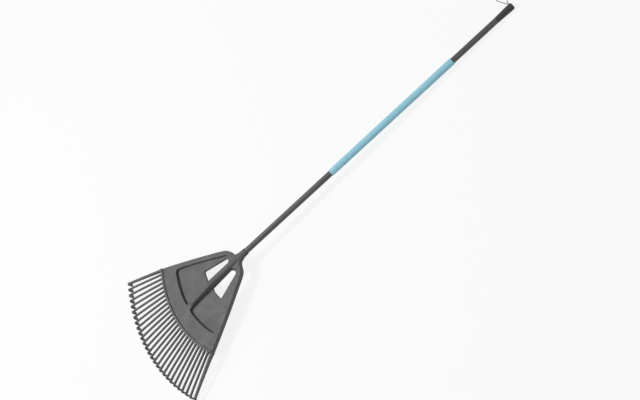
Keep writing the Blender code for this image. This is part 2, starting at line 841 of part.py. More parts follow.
def build_cord(parts, handle, material):
    bpy.context.view_layer.update()
    hole = handle.matrix_world @ Vector((0.0, -CORD_HOLE_ALONG, 0.0))
    curve = bpy.data.curves.new("loop_cord", "CURVE")
    curve.dimensions = "3D"
    curve.bevel_depth = CORD_RADIUS
    curve.bevel_resolution = 2
    curve.use_fill_caps = True
    path = smooth_path(cord_route(hole), CORD_POINT_SPACING)
    spline = curve.splines.new("POLY")
    spline.points.add(len(path) - 1)
    for point, co in zip(spline.points, path):
        point.co = (*co, 1.0)
    cord = bpy.data.objects.new("loop_cord", curve)
    parts.objects.link(cord)
    cord.data.materials.append(material)

    work = bmesh.new()
    bmesh.ops.create_uvsphere(work, u_segments=16, v_segments=10, radius=KNOT_RADIUS)
    mesh = bpy.data.meshes.new("cord_knot")
    work.to_mesh(mesh)
    work.free()
    knot = bpy.data.objects.new("cord_knot", mesh)
    knot.location = handle.matrix_world @ Vector((0.0, -KNOT_ALONG, 0.0))
    knot.data.materials.append(material)
    parts.objects.link(knot)


def place_on_floor(root, objects):
    """Move the rake so that its box is centred on the origin and stands at height zero."""
    bpy.context.view_layer.update()
    depsgraph = bpy.context.evaluated_depsgraph_get()
    low = np.full(3, np.inf)
    high = np.full(3, -np.inf)
    for obj in objects:
        evaluated = obj.evaluated_get(depsgraph)
        mesh = evaluated.to_mesh()
        points = np.empty(len(mesh.vertices) * 3)
        mesh.vertices.foreach_get("co", points)
        points = points.reshape(-1, 3) @ np.array(obj.matrix_world.to_3x3()).T
        points += np.array(obj.matrix_world.translation)
        low = np.minimum(low, points.min(axis=0))
        high = np.maximum(high, points.max(axis=0))
        evaluated.to_mesh_clear()
    root.location.y -= (low[1] + high[1]) / 2.0
    root.location.z -= low[2]
    bpy.context.view_layer.update()


def main():
    clear_scene()
    parts = make_collection("fan_rake")
    cutters = make_collection("cutters")
    head_plastic = make_material("head_plastic", (0.110, 0.110, 0.112), 0.55)
    screw_steel = make_material("screw_steel", (0.45, 0.45, 0.46), 0.35, 1.0)
    cord_fibre = make_material("cord_fibre", (0.20, 0.20, 0.21), 0.90)
    handle_materials = {
        "tube": make_material("tube_enamel", (0.075, 0.075, 0.076), 0.40),
        "sleeve": make_material("sleeve_foam", (0.330, 0.630, 0.755), 0.70),
        "cap": make_material("cap_plastic", (0.030, 0.030, 0.031), 0.55),
    }

    floor_line = find_floor_line()
    frame = make_empty("head_frame", parts)
    frame.rotation_euler = (-math.atan(floor_line[0]), 0.0, 0.0)
    handle = make_empty("handle_frame", parts, frame)
    handle.location = (0.0, 0.0, -HANDLE_DROP)
    handle.rotation_euler = (HANDLE_SLOPE, 0.0, 0.0)

    head = build_fan_head(parts, cutters, frame, handle, floor_line, head_plastic)
    tube = build_handle(parts, cutters, handle, handle_materials)
    build_screw(parts, cutters, head, tube, handle, screw_steel)
    place_on_floor(frame, [obj for obj in parts.objects if obj.type == "MESH"])
    build_cord(parts, handle, cord_fibre)


main()
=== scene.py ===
"""Dressed fan rake: moulded fan head with hooked tines, coated tube, soft sleeve, cap and loop."""

import math

import bmesh
import bpy
from mathutils import Matrix, Vector


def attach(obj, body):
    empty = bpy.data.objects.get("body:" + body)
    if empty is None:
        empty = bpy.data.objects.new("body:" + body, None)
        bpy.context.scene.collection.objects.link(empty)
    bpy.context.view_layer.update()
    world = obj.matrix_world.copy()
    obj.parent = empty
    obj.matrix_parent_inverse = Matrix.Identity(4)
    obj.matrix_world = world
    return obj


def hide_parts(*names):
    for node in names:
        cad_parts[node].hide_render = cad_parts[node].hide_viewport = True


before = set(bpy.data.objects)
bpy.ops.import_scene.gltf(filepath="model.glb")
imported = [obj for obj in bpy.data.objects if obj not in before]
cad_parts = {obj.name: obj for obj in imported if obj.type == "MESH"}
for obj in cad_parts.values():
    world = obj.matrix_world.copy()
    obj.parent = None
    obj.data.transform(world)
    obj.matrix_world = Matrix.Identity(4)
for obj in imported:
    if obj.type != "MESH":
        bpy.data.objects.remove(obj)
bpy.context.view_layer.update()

# Places of the head and of the handle on the floor. The head's axes are +X across the fan,
# +Y towards the tine tips and +Z up from the panel's top; the handle's line runs along -Y.
HEAD_LEAN_SINE = 0.047753107
HEAD = Matrix((
    (1.0, 0.0, 0.0, 0.0),
    (0.0, 0.998859167, HEAD_LEAN_SINE, 0.274315119),
    (0.0, -HEAD_LEAN_SINE, 0.998859167, 0.065780178),
    (0.0, 0.0, 0.0, 1.0),
))
HANDLE = Matrix((
    (1.0, 0.0, 0.0, 0.0),
    (0.0, 0.999299824, -0.03741328, 0.273646563),
    (0.0, 0.03741328, 0.999299824, 0.051796149),
    (0.0, 0.0, 0.0, 1.0),
))
HANDLE_IN_HEAD = HEAD.inverted() @ HANDLE
QUARTER_TURN = math.radians(90.0)

# Points nearer than this are merged, points nearer a height than this lie at it, and edges
# sharper than this angle stay sharp in the shading
MERGE_DISTANCE = 0.000002
AT_HEIGHT = 0.00001
SMOOTH_ANGLE = math.radians(38.0)

# Fan head, in metres from its apex; corners are (x, y, radius)
FAN_RADIUS = 0.540
PANEL_RADIUS = 0.379
FAN_HALF_ANGLE = math.radians(28.46)
EDGE_BOW = 0.0976
EDGE_BOW_START = 0.2 * FAN_RADIUS
EDGE_START_Y = 0.112
EDGE_STEPS = 8
NECK_OUTLINE = (
    (0.0078, 0.0585), (0.0100, 0.0650), (0.0122, 0.0735), (0.0150, 0.0795), (0.0210, 0.0838),
    (0.0290, 0.0868), (0.0375, 0.0895), (0.0450, 0.0932), (0.0510, 0.0985), (0.0555, 0.1045),
)
PANEL_DEPTH = 0.017
WALL = 0.003
TOP_SKIN = 0.003
RIM_WIDTH = 0.0155
ARC_STEPS = 52
RIM_ROUND = 0.0012
LIP_WIDTH = 0.0085
LIP_HEIGHT = 0.0035
LIP_ROUND = 0.0011
LIP_SETBACK = 0.0002
LIP_SUNK = 0.001
LIP_END_GAP = math.radians(0.4)
FLOOR_START_Y = 0.110
FLOOR_START_Z = -0.0070
FLOOR_END_Y = 0.319
FLOOR_END_Z = -0.0105
POCKET_DRAFT = 0.002
RECESS_INSET = 0.0006
POCKET_RADIUS = 0.319
POCKET_CORNER = 0.009
POCKET_NEAR_Y = 0.098
POCKET_STEP_Y = 0.037
POCKET_NEAR_CORNERS = ((0.0125, 0.1130, 0.005), (0.0255, 0.1040, 0.006))
POCKET_NEAR_ROUND = 0.007
POCKET_FAR_ANGLE = math.radians(26.0)
POCKET_OVERCUT = 0.002
DRAFT_FADE = 0.020
FLOOR_ROUND = 0.0009
SPINE_HALF_WIDTH = 0.0078
OPENING_RADIUS = 0.2155
OPENING_ROUND = 0.0006
OPENING_CORNER = 0.005
OPENING_ARC = (math.radians(16.2), math.radians(3.5))
OPENING_NEAR_CORNERS = ((0.0130, 0.1210, 0.003), (0.0225, 0.1120, 0.004), (0.0335, 0.1135, 0.004))
CHANNEL_STEP_Y = 0.031
BAND_WEB = 0.0009
BAND_END_WEB = 0.0030

# How far the cutters reach past the panel
CUT_SPARE = 0.01
CUT_LOW = -PANEL_DEPTH - CUT_SPARE
CUT_HIGH = 0.02

# Raised ridge that carries the socket's line on to the band: (y, height over the panel)
RIDGE_HALF_WIDTH = 0.0080
RIDGE_SIDE = 0.0003
RIDGE_SUNK = 0.001
RIDGE_STEPS = 26
RIDGE_STATIONS = (
    (0.1975, 0.0110), (0.2060, 0.0104), (0.2150, 0.0099), (0.2215, 0.0096), (0.2280, 0.0094),
    (0.2570, 0.0091), (0.2800, 0.0089), (0.2850, 0.0087), (0.2890, 0.0084), (0.2930, 0.0079),
    (0.2960, 0.0072), (0.2985, 0.0063), (0.3005, 0.0053), (0.3025, 0.0040), (0.3040, 0.0028),
    (0.3050, 0.0019), (0.3064, 0.0009), (0.3071, 0.0004),
)
RIDGE_HOLLOW_HALF_WIDTH = 0.0045
RIDGE_HOLLOW_TOP = 0.0035
RIDGE_HOLLOW_START = 0.220
RIDGE_HOLLOW_END = 0.281

# Relief cut from below under the socket, between the two openings
RELIEF_HALF_WIDTH = 0.0162
RELIEF_TOP = -0.0100
RELIEF_START = 0.122
RELIEF_END = 0.212

# Tines. The hook's inside is (outwards from its full thickness, down from the tine's underside).
TINE_COUNT = 27
TINE_STEPS = 8
TINE_CENTRE_Y = -0.038
TINE_TOP = -0.0015
TINE_WIDTH = 0.0056
TINE_ROOT_DEPTH = 0.0082
TINE_END_DEPTH = 0.0070
EDGE_TINE_WIDTH = 0.0072
EDGE_TINE_ROOT_DEPTH = 0.0140
EDGE_TINE_END_DEPTH = 0.0080
TINE_DROOP = 0.0526
TINE_CURVE = 0.185
BEND_RADIUS = 0.008
BEND_STEPS = 8
HOOK_TIP_Z = -0.0400
HOOK_THICKNESS = 0.0052
HOOK_REACH = 0.012
HOOK_STEPS = 4
HOOK_FILLET = 0.0035
HOOK_INSIDE = ((0.0010, 0.0120), (0.0002, 0.0060), (-0.0008, 0.0018))
TIP_SETBACK = 0.0006
TIP_EASE = 0.0001
TIP_EASE_HEIGHT = 0.0020
TIP_THICKNESS = 0.0026
TIP_WIDTH = 0.0105
EDGE_TIP_WIDTH = 0.0085
FLARE_START = 0.002
FLARE_DROP = 0.014
ROOT_WIDENING = 1.5
ROOT_REACH = 0.0005
TINE_ROUND = 0.0011
FLOOR_SLOPE = math.tan(math.asin(HEAD_LEAN_SINE))

# Handle, counted along its line from under the apex. The profiles of rounded ends are
# (radius, distance from the end), and the cap's waist is counted from the tube's end.
SOCKET_MOUTH = -0.044
SOCKET_END = -0.210
SOCKET_RADIUS = 0.0120
SOCKET_SWELL = 0.0004
SOCKET_SWELL_ALONG = -0.082
SOCKET_TAPER_ALONG = -0.058
SOCKET_NOSE = (
    (0.0, 0.0), (0.0045, 0.0003), (0.0070, 0.0012), (0.0090, 0.0028), (0.0105, 0.0050),
    (0.0115, 0.0082), (SOCKET_RADIUS, 0.0120),
)
SOCKET_LIP = ((0.0116, 0.0024), (0.0113, 0.0006), (0.0110, 0.0), (0.0, 0.0))
GAP = 0.0003
TUBE_RADIUS = 0.0095
TUBE_BORE = 0.0085
TUBE_START = -0.195
TUBE_END = 1.0215
SLEEVE_START = 0.3288
SLEEVE_END = 0.8409
SLEEVE_RADIUS = 0.0115
CAP_END = 1.0868
CAP_RADIUS = 0.0113
CAP_BORE = 0.0060
CAP_SPIGOT = 0.032
CAP_ROOF = 0.0040
CAP_WAIST = ((0.0098, 0.004), (0.0100, 0.014), (0.0106, 0.028), (CAP_RADIUS, 0.044))
CAP_NOSE = (
    (CAP_RADIUS, 0.0060), (0.0112, 0.0045), (0.0108, 0.0030), (0.0102, 0.0019), (0.0094, 0.0010),
    (0.0083, 0.0003), (0.0070, 0.0), (0.0, 0.0),
)
CAP_WALL_MIDDLE = 0.0105
CAP_DRILL_LENGTH = 0.012
SCREW_ALONG = -0.066
SCREW_RADIUS = 0.0017
SCREW_HEAD_RADIUS = 0.0036
SCREW_HEAD_HEIGHT = 0.0024
SCREW_POINT = 0.0066
SCREW_TIP_RADIUS = 0.0006
SCREW_TAPER = 0.0022
SCREW_SLOT = (0.0040, 0.0009, 0.0030)
SEAT_GAP = 0.0004
SEAT_DEPTH = 0.0006
DRILL_LENGTH = 0.020
CORD_RADIUS = 0.0012
CORD_HOLE_RADIUS = 0.0032
CORD_HOLE_ALONG = 1.0785
CORD_STRAND_OFFSET = 0.00140
CORD_STEP = 0.00045
CORD_LINE_STEP = 0.002
CORD_SIDES = 24
BRAID_PITCH = 0.0052
BRAID_STRANDS = 4
BRAID_LOW = 0.93
BRAID_RISE = 0.07
KNOT_ALONG = 1.0768
KNOT_SIZE = 0.00100
KNOT_STEPS = 72
KNOT_SIDES = 12

# Camera, at the photograph's viewing angle
CAMERA_PLACE = Vector((-2.4658, -1.0526, 3.7327))
CAMERA_RIGHT = Vector((-0.4847261, -0.7014255, -0.52253504))
CAMERA_UP = Vector((0.69379385, -0.67212806, 0.25863868))
CAMERA_BACK = Vector((-0.53262623, -0.23716268, 0.81244271))
CAMERA_LENS = 82.07
CAMERA_SENSOR = 36.0
CAMERA_NEAR = 0.05
CAMERA_FAR = 100.0

# Studio; a lamp is (place, size, power)
WHITE = (1.0, 1.0, 1.0, 1.0)
FLOOR_SIZE = 30.0
FLOOR_DROP = 0.0003
FLOOR_SHADE = 0.86
FLOOR_GLOW = 0.86
SKY_COLOR = (0.95, 0.97, 1.0, 1.0)
SKY_STRENGTH = 0.33
KEY_LIGHT = ((1.1, 1.9, 3.5), 1.3, 104.0)
FILL_LIGHT = ((-2.6, -2.2, 3.0), 3.0, 4.0)
LAMP_AIM = Vector((0.0, 0.2, 0.0))


# Finishes

def new_finish(name, roughness, specular, metallic=0.0):
    """A material and its shader, with the values that are even all over the piece."""
    finish = bpy.data.materials.new(name)
    finish.use_nodes = True
    shader = finish.node_tree.nodes["Principled BSDF"]
    shader.inputs["Roughness"].default_value = roughness
    shader.inputs["Specular IOR Level"].default_value = specular
    shader.inputs["Metallic"].default_value = metallic
    return finish, shader


def add_node(finish, kind, inputs=None, **settings):
    """A new node whose inputs are given values or are linked to other nodes' outputs."""
    node = finish.node_tree.nodes.new(kind)
    for name, value in settings.items():
        setattr(node, name, value)
    for name, value in (inputs or {}).items():
        if isinstance(value, bpy.types.NodeSocket):
            finish.node_tree.links.new(value, node.inputs[name])
        else:
            node.inputs[name].default_value = value
    return node


def place_on_piece(finish, stretch=(1.0, 1.0, 1.0)):
    """Pattern coordinates that stay with the piece, stretched along its axes."""
    coordinates = add_node(finish, "ShaderNodeTexCoord")
    mapping = add_node(
        finish, "ShaderNodeMapping", {"Vector": coordinates.outputs["Object"], "Scale": stretch}
    )
    return mapping.outputs["Vector"]


def cloud(finish, vector, scale, detail=3.0, roughness=0.5):
    """Soft noise, finer with a larger scale."""
    node = add_node(
        finish, "ShaderNodeTexNoise",
        {"Vector": vector, "Scale": scale, "Detail": detail, "Roughness": roughness},
    )
    return node.outputs["Fac"]


def ramp(finish, factor, low, high, start=0.0, end=1.0):
    """Spread the part of a pattern between two values over the range low to high."""
    node = add_node(
        finish, "ShaderNodeMapRange",
        {"Value": factor, "From Min": start, "From Max": end, "To Min": low, "To Max": high},
    )
    return node.outputs["Result"]


def mottled(finish, vector, scale, detail, start, end, roughness=0.5):
    """Noise with more contrast: 0 below its start value and 1 above its end value."""
    return ramp(finish, cloud(finish, vector, scale, detail, roughness), 0.0, 1.0, start, end)


def blend_colors(finish, factor, first, second):
    """A colour between two; the node's colour inputs are 6 and 7 and its colour output is 2."""
    node = add_node(finish, "ShaderNodeMix", data_type="RGBA")
    for index, value in ((0, factor), (6, first), (7, second)):
        if isinstance(value, bpy.types.NodeSocket):
            finish.node_tree.links.new(value, node.inputs[index])
        elif index == 0:
            node.inputs[index].default_value = value
        else:
            node.inputs[index].default_value = (*value, 1.0)
    return node.outputs[2]


def connect(finish, output, shader, name):
    """Link a pattern to one of a shader's inputs."""
    finish.node_tree.links.new(output, shader.inputs[name])


def roughen(finish, shader, layers):
    """Bump layers, each a pattern with its height in metres."""
    normal = None
    for pattern, height in layers:
        inputs = {"Height": pattern, "Strength": 1.0, "Distance": height}
        if normal is not None:
            inputs["Normal"] = normal
        normal = add_node(finish, "ShaderNodeBump", inputs).outputs["Normal"]
    connect(finish, normal, shader, "Normal")


def floor_rub(finish, reach):
    """1 at floor height, fading to 0 at the reach above it."""
    coordinates = add_node(finish, "ShaderNodeTexCoord")
    split = add_node(finish, "ShaderNodeSeparateXYZ", {"Vector": coordinates.outputs["Object"]})
    return ramp(finish, split.outputs["Z"], 1.0, 0.0, 0.0, reach)


def multiply(finish, first, second):
    """The product of two patterns, or of a pattern and a number."""
    node = add_node(finish, "ShaderNodeMath", {0: first, 1: second}, operation="MULTIPLY")
    return node.outputs["Value"]


def make_moulded_grey():
    """Charcoal moulded plastic with a fine spark-eroded skin, rubbed at the tine tips."""
    finish, shader = new_finish("moulded_grey", 0.55, 0.40)
    here = place_on_piece(finish)
    drift = mottled(finish, here, 9.0, 2.0, 0.35, 0.65)
    speck = mottled(finish, here, 420.0, 2.0, 0.40, 0.62, 0.6)
    body = blend_colors(finish, drift, (0.081, 0.081, 0.083), (0.096, 0.095, 0.096))
    body = blend_colors(finish, multiply(finish, speck, 0.35), body, (0.118, 0.117, 0.118))
    scuff = mottled(finish, here, 160.0, 4.0, 0.45, 0.60, 0.7)
    rub = multiply(finish, floor_rub(finish, 0.012), scuff)
    body = blend_colors(finish, multiply(finish, rub, 0.6), body, (0.22, 0.215, 0.205))
    connect(finish, body, shader, "Base Color")
    flow = cloud(finish, here, 26.0, 3.0, 0.6)
    connect(finish, ramp(finish, flow, 0.48, 0.64, 0.3, 0.7), shader, "Roughness")
    skin = cloud(finish, here, 1500.0, 2.0, 0.6)
    roughen(finish, shader, [(skin, 0.00012), (flow, 0.0004)])
    return finish


def make_tube_coat():
    """Satin dark powder coat on the tube, with a slight orange peel and long scratches."""
    finish, shader = new_finish("tube_coat", 0.38, 0.5)
    here = place_on_piece(finish)
    along = place_on_piece(finish, (1.0, 0.03, 1.0))
    drift = mottled(finish, here, 14.0, 2.0, 0.35, 0.65)
    body = blend_colors(finish, drift, (0.066, 0.066, 0.067), (0.080, 0.080, 0.081))
    hair = mottled(finish, along, 900.0, 2.0, 0.62, 0.72, 0.7)
    body = blend_colors(finish, multiply(finish, hair, 0.30), body, (0.14, 0.14, 0.142))
    connect(finish, body, shader, "Base Color")
    streaks = cloud(finish, along, 260.0, 3.0)
    connect(finish, ramp(finish, streaks, 0.30, 0.48, 0.3, 0.7), shader, "Roughness")
    peel = cloud(finish, here, 520.0, 1.0)
    roughen(finish, shader, [(peel, 0.00010)])
    return finish


def make_sleeve_blue():
    """Pale blue soft sleeve with a fine closed-cell skin."""
    finish, shader = new_finish("sleeve_blue", 0.62, 0.35)
    here = place_on_piece(finish)
    along = place_on_piece(finish, (1.0, 0.12, 1.0))
    drift = mottled(finish, along, 24.0, 3.0, 0.3, 0.7)
    body = blend_colors(finish, drift, (0.345, 0.695, 0.835), (0.395, 0.745, 0.865))
    cells = add_node(
        finish, "ShaderNodeTexVoronoi", {"Vector": here, "Scale": 1100.0}, feature="F1"
    ).outputs["Distance"]
    dust = mottled(finish, here, 300.0, 4.0, 0.50, 0.68, 0.7)
    body = blend_colors(finish, multiply(finish, dust, 0.30), body, (0.44, 0.70, 0.79))
    connect(finish, body, shader, "Base Color")
    connect(finish, ramp(finish, dust, 0.56, 0.74), shader, "Roughness")
    roughen(finish, shader, [(cells, 0.00010), (cloud(finish, along, 60.0, 2.0), 0.0003)])
    return finish


def make_cap_black():
    """Black moulded plastic of the end cap."""
    finish, shader = new_finish("cap_black", 0.50, 0.45)
    here = place_on_piece(finish)
    drift = mottled(finish, here, 60.0, 3.0, 0.3, 0.7)
    body = blend_colors(finish, drift, (0.017, 0.017, 0.018), (0.026, 0.026, 0.027))
    scuff = mottled(finish, here, 380.0, 4.0, 0.56, 0.68, 0.7)
    body = blend_colors(finish, multiply(finish, scuff, 0.35), body, (0.065, 0.064, 0.063))
    connect(finish, body, shader, "Base Color")
    connect(finish, ramp(finish, scuff, 0.44, 0.60), shader, "Roughness")
    roughen(finish, shader, [(cloud(finish, here, 1300.0, 2.0, 0.6), 0.00012)])
    return finish


def make_cord_grey():
    """Grey braided fibre; the strands are in the cord's shape, the yarn in its bump."""
    finish, shader = new_finish("cord_grey", 0.85, 0.25)
    here = place_on_piece(finish)
    fuzz = cloud(finish, here, 2600.0, 3.0, 0.7)
    drift = mottled(finish, here, 420.0, 2.0, 0.35, 0.65)
    body = blend_colors(finish, drift, (0.150, 0.150, 0.155), (0.260, 0.260, 0.265))
    connect(finish, body, shader, "Base Color")
    connect(finish, ramp(finish, fuzz, 0.78, 0.95), shader, "Roughness")
    roughen(finish, shader, [(fuzz, 0.00010)])
    return finish


def make_screw_zinc():
    """Bright zinc plate, a little mottled."""
    finish, shader = new_finish("screw_zinc", 0.32, 0.5, 1.0)
    here = place_on_piece(finish)
    mottle = cloud(finish, here, 900.0, 4.0, 0.6)
    body = blend_colors(finish, mottle, (0.52, 0.52, 0.53), (0.66, 0.65, 0.62))
    connect(finish, body, shader, "Base Color")
    connect(finish, ramp(finish, mottle, 0.24, 0.42), shader, "Roughness")
    roughen(finish, shader, [(mottle, 0.00003)])
    return finish


# Workshop

def face_outwards(shape):
    """Turn all faces of a closed shape outwards."""
    bmesh.ops.recalc_face_normals(shape, faces=shape.faces)
    if shape.calc_volume(signed=True) < 0.0:
        bmesh.ops.reverse_faces(shape, faces=shape.faces)


def add_piece(name, shape, finish, nodes):
    """Put a shape that is already in its place into the scene as a finished piece."""
    face_outwards(shape)
    mesh = bpy.data.meshes.new(name)
    shape.to_mesh(mesh)
    shape.free()
    mesh.materials.append(finish)
    piece = bpy.data.objects.new(name, mesh)
    bpy.context.scene.collection.objects.link(piece)
    mesh.shade_smooth()
    mesh.set_sharp_from_angle(angle=SMOOTH_ANGLE)
    evened = piece.modifiers.new("even normals", "WEIGHTED_NORMAL")
    evened.keep_sharp = True
    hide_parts(*nodes)
    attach(piece, "root")
    return piece


def cut_or_join(base, tool, operation):
    """A tool cut out of a base shape, or joined on, with both of them used up."""
    holders = []
    for shape in (base, tool):
        mesh = bpy.data.meshes.new("blank")
        shape.to_mesh(mesh)
        shape.free()
        holder = bpy.data.objects.new("blank", mesh)
        bpy.context.scene.collection.objects.link(holder)
        holders.append(holder)
    modifier = holders[0].modifiers.new("joint", "BOOLEAN")
    modifier.operation = operation
    modifier.solver = "EXACT"
    modifier.object = holders[1]
    depsgraph = bpy.context.evaluated_depsgraph_get()
    result = bmesh.new()
    result.from_object(holders[0], depsgraph)
    for holder in holders:
        mesh = holder.data
        bpy.data.objects.remove(holder, do_unlink=True)
        bpy.data.meshes.remove(mesh)
    bmesh.ops.remove_doubles(result, verts=result.verts, dist=MERGE_DISTANCE)
    return result


def cut(base, tool):
    """The base with the tool's form cut out of it."""
    return cut_or_join(base, tool, "DIFFERENCE")


def join(base, tool):
    """The base and the tool as one closed shape."""
    return cut_or_join(base, tool, "UNION")


def gather(shapes):
    """Several shapes that don't touch, as one."""
    together = bmesh.new()
    for shape in shapes:
        mesh = bpy.data.meshes.new("gathered")
        shape.to_mesh(mesh)
        shape.free()
        together.from_mesh(mesh)
        bpy.data.meshes.remove(mesh)
    return together


def plate(outline, low, high):
    """An outline filled at one height and extruded to another."""
    shape = bmesh.new()
    face = shape.faces.new([shape.verts.new((x, y, low)) for x, y in outline])
    risen = bmesh.ops.extrude_face_region(shape, geom=[face])
    verts = [item for item in risen["geom"] if isinstance(item, bmesh.types.BMVert)]
    bmesh.ops.translate(shape, verts=verts, vec=(0.0, 0.0, high - low))
    face_outwards(shape)
    return shape


def closed_ring(shape, points):
    """The edges of a new ring through some points."""
    verts = [shape.verts.new(point) for point in points]
    return [shape.edges.new(pair) for pair in zip(verts, verts[1:] + verts[:1])]


def lofted(rings):
    """A closed body through rings of equally many points, with a flat face at both ends."""
    shape = bmesh.new()
    loops = [closed_ring(shape, ring) for ring in rings]
    for first, second in zip(loops, loops[1:]):
        bmesh.ops.bridge_loops(shape, edges=first + second)
    for loop in (loops[0], loops[-1]):
        bmesh.ops.contextual_create(shape, geom=loop)
    face_outwards(shape)
    return shape


def round_edges(shape, edges, radius, segments):
    """Round some edges over with a number of facets."""
    bmesh.ops.bevel(
        shape, geom=edges, offset=radius, offset_type="OFFSET", segments=segments,
        profile=0.5, affect="EDGES", clamp_overlap=False, material=-1,
    )


def sharp_edges(shape, sharpness, height_at):
    """The edges sharper than some degrees whose ends are at the height for their y."""
    limit = math.radians(sharpness)
    return [
        edge for edge in shape.edges
        if all(abs(vert.co.z - height_at(vert.co.y)) < AT_HEIGHT for vert in edge.verts)
        and len(edge.link_faces) == 2 and edge.calc_face_angle() > limit
    ]


def edges_at(shape, height):
    """The sharp edges that lie at one height."""
    return sharp_edges(shape, 50.0, lambda _: height)


def edges_on_floor(shape, sharpness):
    """The sharp edges that lie on the pockets' sloping floor."""
    return sharp_edges(shape, sharpness, floor_height)


def spun(shape, edges, axis, steps):
    """A shape whose edges are spun all the way round an axis through the origin."""
    bmesh.ops.spin(
        shape, geom=edges, cent=(0.0, 0.0, 0.0), axis=axis, angle=math.tau, steps=steps,
        use_merge=True,
    )
    bmesh.ops.remove_doubles(shape, verts=shape.verts, dist=MERGE_DISTANCE)
    face_outwards(shape)
    return shape


def turned(profile, steps=64):
    """A profile of (radius, along) pairs spun round the handle's line."""
    shape = bmesh.new()
    verts = [shape.verts.new((radius, -along, 0.0)) for radius, along in profile]
    if profile[0] == profile[-1]:
        shape.verts.remove(verts.pop())
        verts.append(verts[0])
    edges = [shape.edges.new(pair) for pair in zip(verts, verts[1:])]
    return spun(shape, edges, (0.0, 1.0, 0.0), steps)


def rod(radius, length, place, sides):
    """A plain round bar along its own Z axis, put in its place."""
    shape = bmesh.new()
    bmesh.ops.create_cone(
        shape, cap_ends=True, segments=sides, radius1=radius, radius2=radius, depth=length,
        matrix=place,
    )
    return shape


# Sketches, seen from above

def round_corners(corners, segments):
    """Outline points from (x, y, radius) corners; a corner of radius 0 is kept as it is."""
    points = []
    count = len(corners)
    for index, (x, y, radius) in enumerate(corners):
        here = Vector((x, y))
        if radius == 0.0:
            points.append((x, y))
            continue
        before = (Vector(corners[index - 1][:2]) - here).normalized()
        after = (Vector(corners[(index + 1) % count][:2]) - here).normalized()
        half = before.angle(after) / 2.0
        start = here + before * (radius / math.tan(half))
        end = here + after * (radius / math.tan(half))
        centre = here + (before + after).normalized() * (radius / math.sin(half))
        first = start - centre
        sweep = first.angle_signed(end - centre)
        for step in range(segments + 1):
            turn = Matrix.Rotation(-sweep * step / segments, 2)
            points.append(tuple(centre + turn @ first))
    return points


def offset_outline(points, distance):
    """Move a counter-clockwise outline outwards by a distance, or inwards if negative."""
    moved = []
    count = len(points)
    for index in range(count):
        here = Vector(points[index])
        before = (here - Vector(points[index - 1])).normalized()
        after = (Vector(points[(index + 1) % count]) - here).normalized()
        normal = (Vector((before.y, -before.x)) + Vector((after.y, -after.x))).normalized()
        spread = normal.dot(Vector((after.y, -after.x)))
        moved.append(tuple(here + normal * (distance / spread)))
    return moved


def mirrored(points):
    """An outline carried over to the -X side, in reverse order so that it turns the same way."""
    return [(-x, y) for x, y in reversed(points)]


def rectangle(half_width, start, end):
    """An outline across the middle line, from one y to another."""
    return [(half_width, start), (half_width, end), (-half_width, end), (-half_width, start)]


def arc_points(radius, start_angle, end_angle, steps):
    """Points about the apex, with angles counted from +Y towards +X."""
    points = []
    for step in range(steps + 1):
        angle = start_angle + (end_angle - start_angle) * step / steps
        points.append((radius * math.sin(angle), radius * math.cos(angle)))
    return points


def edge_x(y):
    """Half width of the fan at a distance y from the apex; the edges bow out slightly."""
    bow = EDGE_BOW * (y - EDGE_BOW_START)
    bow *= (FAN_RADIUS * math.cos(FAN_HALF_ANGLE) - y) / FAN_RADIUS
    return math.tan(FAN_HALF_ANGLE) * y + bow


def edge_point(radius):
    """The point of the fan's +X edge at a distance from the apex, found by closing in on it."""
    angle = FAN_HALF_ANGLE
    for _ in range(20):
        y = radius * math.cos(angle)
        angle = math.atan2(edge_x(y), y)
    return radius * math.sin(angle), radius * math.cos(angle)


def panel_outline():
    """The whole panel: neck, shoulder and edge on the +X side, the outer arc, and back."""
    corner_x, corner_y = edge_point(PANEL_RADIUS)
    right = list(NECK_OUTLINE)
    for step in range(EDGE_STEPS):
        y = EDGE_START_Y + (corner_y - EDGE_START_Y) * step / EDGE_STEPS
        right.append((edge_x(y), y))
    corner_angle = math.atan2(corner_x, corner_y)
    arc = arc_points(PANEL_RADIUS, corner_angle, -corner_angle, ARC_STEPS)
    return right + arc + mirrored(right)


def rim_line(y, inset):
    """A point beside the fan's +X edge, moved in square to the edge."""
    nudge = 0.001
    slope = (edge_x(y + nudge) - edge_x(y - nudge)) / (2.0 * nudge)
    length = math.hypot(slope, 1.0)
    return edge_x(y) - inset / length, y + inset * slope / length


def arc_corners(arc, radius):
    """An arc's points as corners, of which only the two ends are rounded."""
    ends = (0, len(arc) - 1)
    return [(x, y, radius if index in ends else 0.0) for index, (x, y) in enumerate(arc)]


def pocket_outline():
    """The +X pocket's rim; the arc's points next to its ends make room for their rounding."""
    spine_angle = math.asin(SPINE_HALF_WIDTH / POCKET_RADIUS)
    arc = arc_points(POCKET_RADIUS, POCKET_FAR_ANGLE, spine_angle, 16)
    arc = arc[:1] + arc[2:-2] + arc[-1:]
    near_x, near_y = rim_line(POCKET_NEAR_Y, RIM_WIDTH)
    corners = [*POCKET_NEAR_CORNERS, (near_x, near_y, POCKET_NEAR_ROUND)]
    for step in range(1, 5):
        x, y = rim_line(POCKET_NEAR_Y + POCKET_STEP_Y * step, RIM_WIDTH)
        corners.append((x, y, 0.0))
    return round_corners(corners + arc_corners(arc, POCKET_CORNER), 6)


def floor_height(y):
    """Height of the pockets' sloping floor."""
    share = (y - FLOOR_START_Y) / (FLOOR_END_Y - FLOOR_START_Y)
    return FLOOR_START_Z + (FLOOR_END_Z - FLOOR_START_Z) * share


def pocket_floor(rim):
    """The pocket's outline at its floor: drafted all round, but upright along the spine."""
    points = []
    for x, y in offset_outline(rim, -POCKET_DRAFT):
        share = 1.0 - (x - SPINE_HALF_WIDTH - POCKET_DRAFT) / DRAFT_FADE
        points.append((x - POCKET_DRAFT * min(1.0, max(0.0, share)), y))
    return points


